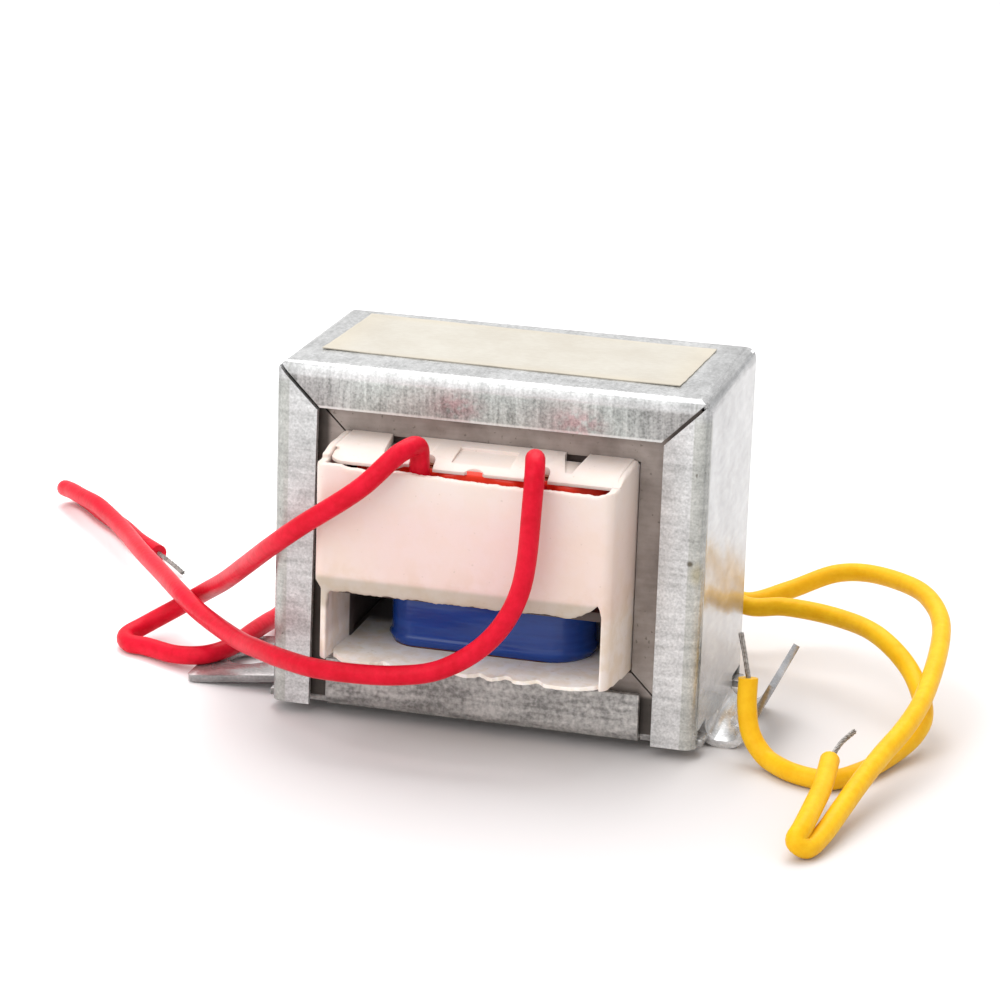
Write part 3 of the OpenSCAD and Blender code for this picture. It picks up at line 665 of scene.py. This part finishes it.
def core_stacks():
    """Both stacks as single sheets with a thin gap after each."""
    pitch = 0.5 * MM
    filled = 0.94
    tree, identifiers = stack_tree()
    for seed, node in enumerate(("core_f_stack", "core_l_stack")):
        low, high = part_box(node)
        depth = high.y - low.y
        count = round(depth / pitch)
        thick = filled * depth / count
        bm = cad_copy(node)
        for v in bm.verts:
            v.co.y = thick if v.co.y > 0 else 0
        mesh = mesh_by_tree(mesh_of(bm, node), tree, identifiers, {
            "Sheets": count, "First": low.y, "Pitch": (depth - thick) / (count - 1), "Shift": 0.02 * MM,
            "Seed": seed, "Finish": FINISHES["core_sheet"]})
        add_piece(node.replace("stack", "sheets"), mesh, "core_sheet", node)


# Steel
def steel_parts():
    """Frame and base strip; the lower end of the frame's left front flange tapers."""
    flange_edge = -16.9
    flange_y = -10.6
    taper_top = 5
    taper = 0.4
    for node, finish in (("channel_frame", "galvanised_sheet"), ("base_strip", "strip_sheet")):
        bm = cad_copy(node)
        for v in bm.verts:
            x, y, z = v.co / MM
            if abs(x - flange_edge) < 0.1 and y < flange_y and z < taper_top:
                v.co.x -= taper * MM
        mesh = bevelled(mesh_of(bm, node), 0.09, 2)
        add_piece(f"{node}_steel", mesh, finish, node)


# Bites along the front edge of the bottom flange, with the length of their steep and their long sides
BITES = (-8, -5.6, -0.9, 1.5, 4, 7)
BITE_STEEP = 0.35
BITE_LONG = 1.3
BOTTOM_EDGE = -17

# Front of the top flange: where it warps and how high, where it bows down, and the cuts that let it bend
WARP_START = -10.32
WARP_END = -16.22
WARP = 0.35
BOW_START = -14
BOW_RUN = 2.2
TOP_CUTS = (-10.28, -10.36, -14.4, -14.9, -15.4, -15.8)

# Right one of the two slots in the top flange, with the depth of its floor at each corner
SLOT_OUTLINE = ((7.2, -10), (9.75, -10), (9.2, -15.1), (8.3, -15.1), (7.2, -11.3))
SLOT_DEPTHS = (0.65, 0.65, 0.1, 0.1, 0.5)
SLOT_BOTTOM = 0.9


# Mouldings
def bite_depth(x):
    """0 to 1 in the bites of the bottom flange's edge, each steep on its left and long on its right."""
    return max(max(0, 1 - (x - b) / (BITE_LONG if x > b else -BITE_STEEP)) for b in BITES)


def sunk_part(x):
    """0 over the left end of the top flange, 1 over the rest, which has sunk in front."""
    return ramp(x, -7, -5)


def flange_lift(x, y):
    """Height that the warped front of the top flange gains: most behind, none or less in front."""
    run = ramp(y, WARP_START, WARP_END)
    return WARP * (1 - run - run * sunk_part(x))


def bow(y):
    """How far the top flange's front bends down, growing from where it starts."""
    return (max(0, BOW_START - y) / BOW_RUN) ** 2


def split(bm, place, normal):
    """Splits a mesh's faces along a plane."""
    bmesh.ops.bisect_plane(bm, geom=bm.verts[:] + bm.edges[:] + bm.faces[:], dist=1e-7,
                           plane_co=place, plane_no=normal)


def slot_floors(bm, top):
    """Sunk floors of the two tapered slots, which rise to the front."""
    for side in (1, -1):
        upper, lower = (
            [bm.verts.new(mm((side * x, y, top - d))) for (x, y), d in zip(SLOT_OUTLINE, depths)]
            for depths in (SLOT_DEPTHS, [SLOT_BOTTOM] * len(SLOT_DEPTHS)))
        made = [bm.faces.new(upper), bm.faces.new(lower[::-1])]
        for a, b, c, d in zip(upper, upper[1:] + upper[:1], lower[1:] + lower[:1], lower):
            made.append(bm.faces.new((a, d, c, b)))
        bmesh.ops.recalc_face_normals(bm, faces=made)


def bobbin_moulding():
    """Bobbin with a bitten front edge on its bottom flange and a warped, bowed front on its top flange."""
    strip = 0.3 * MM
    flange_t, skin, end_w = 1, 0.2, 1.2
    edge_y, corner_y, corner_x = -15.9, -15.3, -12.3
    left_out, right_out = -0.09, 0.4
    bitten, left_forward, left_down, lip_down = 0.55, 0.95, 0.2, 0.6
    bm = cad_copy("bobbin")
    low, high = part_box("bobbin")
    top = high.z / MM
    side = high.x / MM
    for k in range(1, int((high.x - low.x) / strip)):
        split(bm, (low.x + k * strip, 0, 0), (1, 0, 0))
    for y in TOP_CUTS:
        split(bm, (0, y * MM, 0), (0, 1, 0))
    slot_floors(bm, top)
    for v in bm.verts:
        x, y, z = v.co / MM
        if y < BOTTOM_EDGE:
            uneven = 0.16 * wobble(x, 1.1, 1) + 0.14 * wobble(x, 3, 2)
            v.co.y += (bitten * bite_depth(x) + uneven) * MM
        elif z > top - flange_t:
            left_end = ramp(x, -6.6, -7.4)
            if y < WARP_START:
                v.co.z += flange_lift(x, y) * MM
            if y < edge_y:
                v.co.y += (0.05 * wobble(x, 1.2, 3) + 0.04 * wobble(x, 3.1, 4)) * MM
            v.co.y -= left_forward * left_end * bow(y) * MM
            v.co.z -= (left_down * left_end + lip_down * (z > top - skin)) * bow(y) * MM
            if abs(x) > side - end_w:
                v.co.x += (right_out if x > 0 else left_out) * MM
            if y < corner_y:
                v.co.y += 0.5 * max(0, corner_x - x) ** 2 * MM
    mesh = bevelled(mesh_of(bm, "bobbin"), 0.14, 2)
    add_piece("bobbin_moulding", mesh, "bobbin_plastic", "bobbin")


def cover_moulding(node, ragged):
    """Cover with soft edges. Ragged says how far the free edges of its front wall have flash and sag and how
    far its side walls follow the top flange. On the front cover the left wall is set in low down and the
    lower right corner is curled."""
    mesh = bevelled(mesh_of(cad_copy(node), node), 0.22, 3, 0.2)
    drop = 0.9
    top_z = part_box(node)[1].z / MM - drop
    open_z = 14.1
    wall_x, wall_y, front_y = -12.6, -10.3, 17
    set_in, sagged, curled = 0.55, 0.38, 0.8
    for v in mesh.vertices:
        x, y, z = v.co / MM
        if x < wall_x and y < wall_y:
            v.co.x += set_in * ramp(z, 15.1, 14.2) * ramp(x, wall_x, wall_x - 1) * MM
        if z > top_z + 0.1 and y < WARP_START:
            v.co.z += ragged * (z - top_z) / drop * (flange_lift(x, y) - 0.5 * min(1, bow(y)) + 0.03) * MM
        if abs(y) > front_y:
            v.co.y += 0.05 * wobble(x + 0.7 * z, 0.25, 5) * MM
            flash = peak(z, open_z, 1.1) * (0.24 * wobble(x, 0.55, 6) + 0.12 * wobble(x, 2.2, 7))
            flash += peak(z, top_z, 0.6) * (0.1 * wobble(x, 0.9, 8) + 0.08 * wobble(x, 3, 9))
            slack = ramp(x, -8, 0) * ramp(x, 13.2, 12.4) + 0.6 * ramp(x, -12.6, -12) * ramp(x, -7, -8)
            sag = sagged * slack * ramp(z, top_z - 1.6, top_z) * (z < top_z + 0.3)
            v.co.z += ragged * (flash - sag) * MM
        if y < -front_y and z > open_z - 1:
            corner = max(0, (x - 9.6) / 3) ** 2 * ramp(x, 13.05, 12.7)
            v.co.z += curled * corner * ramp(z, open_z + 3.5, open_z) * MM
    add_piece(f"{node}_moulding", mesh, "bobbin_plastic", node)


# Tapes and label
def rounded_loop(half_w, half_d, r, steps):
    """Points round a rounded rectangle, with the outward direction at each."""
    spacing = 0.35
    loop = []
    for corner, (sx, sy) in enumerate(((1, 1), (-1, 1), (-1, -1), (1, -1))):
        for k in range(steps + 1):
            a = (corner + k / steps) * math.pi / 2
            out = Vector((math.cos(a), math.sin(a), 0))
            loop.append((Vector((sx * (half_w - r), sy * (half_d - r), 0)) + r * out, out))
    dense = []
    for (p, n), (q, m) in zip(loop, loop[1:] + loop[:1]):
        parts = max(1, round((q - p).length / spacing))
        dense.extend((p.lerp(q, k / parts), n.lerp(m, k / parts).normalized()) for k in range(parts))
    return dense


def clear_of(x, place):
    """0 near a place along the width, 1 away from it."""
    return ramp(abs(x - place), 1.3, 2.1)


def tape_point(p, out, z, t, inset, crease, loose, swollen):
    """Point of a tape's skin beside p on its loop, at height z, which is the share t of the tape's height."""
    swollen_x, loose_y, lowered = 4, -12, 0.36
    left_exit, right_exit = (LEADS[name]["route"][0][0] for name in ("red_left", "red_right"))
    lumps = 0.05 * noise.noise(Vector((p.x * 0.25, p.y * 0.25, z * 0.35)))
    crease_at = 0.14 + 0.02 * wobble(p.x, 0.3, 11)
    fold = math.exp(-(((t - crease_at) / 0.035) ** 2)) * (0.5 + 0.5 * wobble(p.x + p.y, 0.2, 12))
    tuck = 0.25 * peak(t, 0, 0.07) ** 2 + 0.15 * peak(t, 1, 0.05) ** 2
    place = p + out * (lumps + crease * fold - tuck - inset)
    if p.x > swollen_x and p.y < 0:
        place.x += swollen * (p.x - swollen_x) / 6 * ramp(p.y, 0, -9)
        place.y += swollen * 0.9 * max(0, (p.x - 6) / 4) ** 2
    if p.y < loose_y:
        slack = ramp(t, 0.5, 1) ** 2
        beside_leads = clear_of(p.x, left_exit) * clear_of(p.x, right_exit)
        place.y -= loose * slack * ramp(abs(p.x), 10.6, 9.4) * beside_leads
        place.z -= lowered * slack * sunk_part(p.x) * clear_of(p.x, 0)
    return mm((place.x, place.y, z + place.z))


def tape_sleeve(name, node, finish, crease, loose, swollen):
    """Tape wound round a winding, with lumps and a crease above its lower edge. Its upper front may stand
    loose and its right front corner may be swollen."""
    rows = 22
    insets = (0.04, 0.2)
    low, high = (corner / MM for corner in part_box(node))
    loop = rounded_loop((high.x - low.x) / 2, high.y, 3.2, 12)
    bm = bmesh.new()
    skins = []
    for inset in insets:
        skin = []
        for j in range(rows + 1):
            t = j / rows
            z = low.z + (high.z - low.z) * t
            skin.append([
                bm.verts.new(tape_point(p, out, z, t, inset, crease, loose, swollen)) for p, out in loop])
        skins.append(skin)
    outer, inner = skins
    count = len(loop)
    for i in range(count):
        n = (i + 1) % count
        for j in range(rows):
            bm.faces.new((outer[j][i], outer[j][n], outer[j + 1][n], outer[j + 1][i]))
            bm.faces.new((inner[j][i], inner[j + 1][i], inner[j + 1][n], inner[j][n]))
        bm.faces.new((outer[rows][i], outer[rows][n], inner[rows][n], inner[rows][i]))
        bm.faces.new((outer[0][i], inner[0][i], inner[0][n], outer[0][n]))
    mesh = mesh_of(bm, name)
    mesh.shade_smooth()
    add_piece(name, mesh, finish, node)


def paper_label():
    """Thin paper on the top face, a little wavy, its corners barely lifted."""
    half_w, half_d, thick = 17.75, 7.4, 0.1
    rim_share, uneven = 0.99, 0.05
    columns, rows = 90, 38
    turn = Matrix.Rotation(math.radians(-1.7), 4, "Z")
    centre = Vector((LABEL_X, LABEL_Y, FRAME_TOP))
    bm = bmesh.new()
    sides = []
    for height in (thick, 0):
        side = []
        for j in range(rows + 1):
            line = []
            for i in range(columns + 1):
                u, v = 2 * i / columns - 1, 2 * j / rows - 1
                x = u * half_w + uneven * wobble(12 * v, 0.5, 21) * (abs(u) > rim_share)
                y = v * half_d + uneven * wobble(12 * u, 0.6, 22) * (abs(v) > rim_share)
                lift = 0.02 + 0.02 * noise.noise(Vector((x * 0.3, y * 0.3, 0)))
                lift += 0.06 * ramp(abs(u) + abs(v), 1.75, 2)
                line.append(bm.verts.new(mm(turn @ Vector((x, y, lift + height)) + centre)))
            side.append(line)
        sides.append(side)
    top, below = sides
    for j in range(rows):
        for i in range(columns):
            bm.faces.new((top[j][i], top[j][i + 1], top[j + 1][i + 1], top[j + 1][i]))
            bm.faces.new((below[j][i], below[j + 1][i], below[j + 1][i + 1], below[j][i + 1]))
    rim = [(0, i) for i in range(columns)] + [(j, columns) for j in range(rows)]
    rim += [(rows, i) for i in range(columns, 0, -1)] + [(j, 0) for j in range(rows, 0, -1)]
    for (a, b), (c, d) in zip(rim, rim[1:] + rim[:1]):
        bm.faces.new((top[a][b], below[a][b], below[c][d], top[c][d]))
    mesh = mesh_of(bm, "paper_label")
    mesh.shade_smooth()
    mesh.set_sharp_from_angle(angle=math.radians(40))
    add_piece("paper_label", mesh, "label_paper", "top_label")


# Windings, which keep their CAD shape
def windings():
    for node in ("primary_winding", "secondary_winding"):
        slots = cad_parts[node].data.materials
        slots.clear()
        slots.append(FINISHES["winding_wire"])


# Stage: floor and lights in metres and watts, places in millimetres
FLOOR_HALF = 4
SURROUND = 0.8
AIM = (0, 0, 15)
SOFT_BOXES = {
    "soft_box_above": {"place": (-60, 200, 500), "size": 0.5, "energy": 2.7},
    "soft_box_front": {"place": (-190, -400, 380), "size": 0.6, "energy": 1.8},
}


def studio():
    scene = bpy.context.scene
    bm = bmesh.new()
    bm.faces.new([
        bm.verts.new((x * FLOOR_HALF, y * FLOOR_HALF, FLOOR_Z * MM))
        for x, y in ((-1, -1), (1, -1), (1, 1), (-1, 1))])
    floor = bpy.data.objects.new("studio_floor", mesh_of(bm, "studio_floor"))
    floor.data.materials.append(pale_floor())
    scene.collection.objects.link(floor)
    world = bpy.data.worlds.new("white_surround")
    world.use_nodes = True
    sky = world.node_tree.nodes["Background"]
    sky.inputs["Color"].default_value = (1, 1, 1, 1)
    sky.inputs["Strength"].default_value = SURROUND
    scene.world = world
    for name, box in SOFT_BOXES.items():
        data = bpy.data.lights.new(name, "AREA")
        data.size = box["size"]
        data.energy = box["energy"]
        lamp = bpy.data.objects.new(name, data)
        lamp.location = mm(box["place"])
        lamp.rotation_euler = (mm(AIM) - lamp.location).to_track_quat("-Z", "Y").to_euler()
        scene.collection.objects.link(lamp)
    scene.view_settings.view_transform = "Standard"


photo_camera()
leads()
steel_parts()
core_stacks()
bobbin_moulding()
cover_moulding("front_cover", 1)
cover_moulding("rear_cover", 0.3)
tape_sleeve("primary_tape_sleeve", "primary_tape", "red_tape", 0.03, 0.95, 0)
tape_sleeve("secondary_tape_sleeve", "secondary_tape", "blue_tape", 0.4, 0, 1.5)
paper_label()
windings()
studio()
